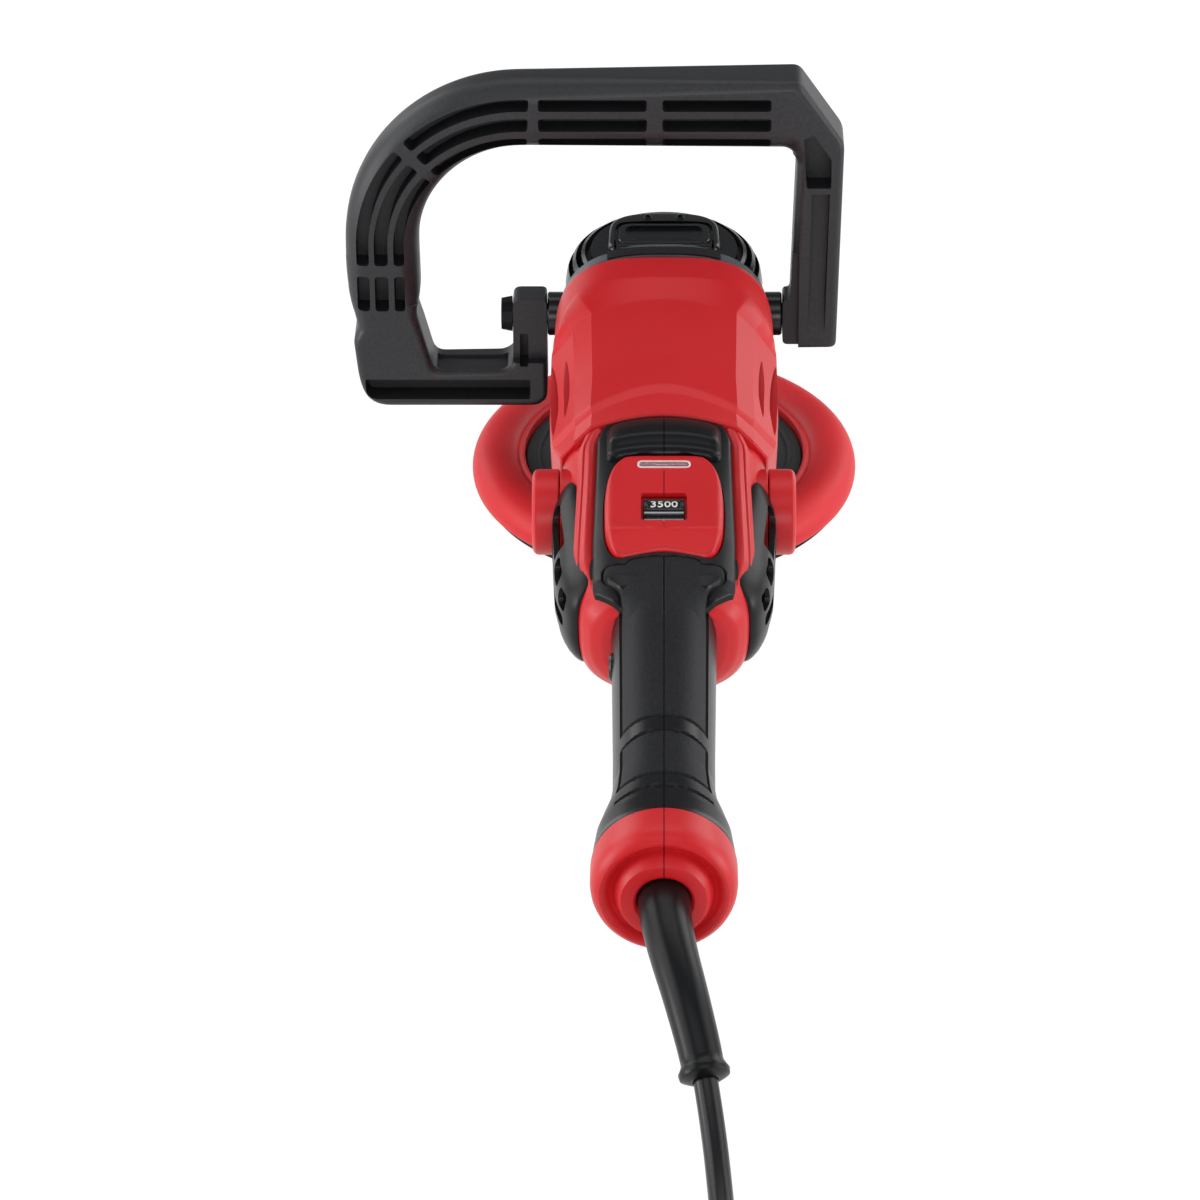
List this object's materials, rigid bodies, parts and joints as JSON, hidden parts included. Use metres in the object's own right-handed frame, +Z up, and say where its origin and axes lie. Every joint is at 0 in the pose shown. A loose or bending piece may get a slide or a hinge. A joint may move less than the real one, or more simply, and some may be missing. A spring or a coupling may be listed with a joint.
{
  "type": "rotary polisher",
  "caption": "Mains rotary polisher: round backing pad under a gear head with a bail handle, red motor housing with speed dial, and a long rubber grip with trigger and cord.",
  "frame": {"origin": "centre of the pad's flat working face, on the spindle axis", "axes": "+Z up the spindle from the pad face, -Y along the motor and the rear grip to the cord, +X to the right of someone who holds the tool from behind"},
  "size_m": [0.1965, 0.7323, 0.1761],
  "materials": {
    "red_plastic": "satin",
    "black_plastic": "satin",
    "black_rubber": "matte",
    "black_nylon": "satin",
    "cast_aluminium": "satin",
    "steel": "satin",
    "lamination": "satin",
    "copper": "satin",
    "brass": "satin",
    "carbon": "matte",
    "pad_foam": "satin",
    "hook_face": "matte",
    "clear_lens": "gloss",
    "circuit_board": "matte"
  },
  "bodies": {
    "housing": {"gear_case": "cast_aluminium", "gear_head_cover": "black_plastic", "foot_plate": "cast_aluminium", "spindle_bearing": "steel", "spindle_bush": "brass", "motor_front_bearing": "steel", "motor_rear_bearing": "steel", "stator_core": "lamination", "field_winding": "copper", "fan_baffle": "black_plastic", "brush_bridge": "black_plastic", "brush_holder_left": "brass", "brush_holder_right": "brass", "carbon_brush_left": "carbon", "carbon_brush_right": "carbon", "brush_spring_left": "steel", "brush_spring_right": "steel", "brush_cover_left": "red_plastic", "brush_cover_right": "red_plastic", "motor_housing": "red_plastic", "rear_shell_left": "red_plastic", "rear_shell_right": "red_plastic", "grip_left": "black_rubber", "grip_right": "black_rubber", "top_panel_left": "black_rubber", "top_panel_right": "black_rubber", "status_lens": "clear_lens", "speed_controller": "circuit_board", "intake_cover_left": "black_plastic", "intake_cover_right": "black_plastic", "intake_filter_left": "hook_face", "intake_filter_right": "hook_face", "trigger_pin": "steel", "switch_module": "black_plastic", "cord_clamp": "black_plastic", "bail_handle": "black_nylon", "handle_spacer_left": "black_plastic", "handle_spacer_right": "black_plastic", "handle_bolt_left": "steel", "handle_bolt_right": "steel", "cord_guard": "black_rubber", "cord_lead": "black_rubber", "cord_coil": "black_rubber", "cord_tie": "black_rubber", "plug": "black_rubber"},
    "pad_spindle": {"spindle": "steel", "crown_gear": "steel", "pad_plate": "black_plastic", "pad_foam": "pad_foam", "pad_hook_face": "hook_face", "pad_hub": "steel"},
    "armature": {"armature_shaft": "steel", "armature_core": "lamination", "commutator": "copper", "cooling_fan": "black_plastic", "pinion_gear": "steel"},
    "trigger": {"trigger": "black_plastic"},
    "lock_on_button": {"lock_on_button": "black_plastic"},
    "speed_dial": {"speed_dial": "black_plastic"},
    "spindle_lock": {"spindle_lock_button": "black_plastic"}
  },
  "joints": [
    {"name": "spindle_spin", "type": "hinge", "parent": "housing", "child": "pad_spindle", "pos_m": [0, 0, 0.05], "axis": [0, 0, 1], "continuous": true},
    {"name": "armature_spin", "type": "hinge", "parent": "housing", "child": "armature", "pos_m": [0, -0.087, 0.077], "axis": [0, 1, 0], "continuous": true},
    {"name": "trigger_squeeze", "type": "hinge", "parent": "housing", "child": "trigger", "pos_m": [0, -0.237, 0.064], "axis": [-1, 0, 0], "range_deg": [0, 6], "stiffness_Nm_per_rad": 1.2},
    {"name": "lock_on_press", "type": "slide", "parent": "housing", "child": "lock_on_button", "axis": [1, 0, 0], "range_m": [0, 0.0026], "stiffness_N_per_m": 900},
    {"name": "dial_turn", "type": "hinge", "parent": "housing", "child": "speed_dial", "pos_m": [0, -0.186, 0.09498], "axis": [1, 0, 0], "range_deg": [-130, 130]},
    {"name": "spindle_lock_press", "type": "slide", "parent": "housing", "child": "spindle_lock", "axis": [0, -1, 0], "range_m": [0, 0.004], "stiffness_N_per_m": 900}
  ],
  "couplings": [
    {"joint": "armature_spin", "follows": "spindle_spin", "ratio": -4}
  ]
}
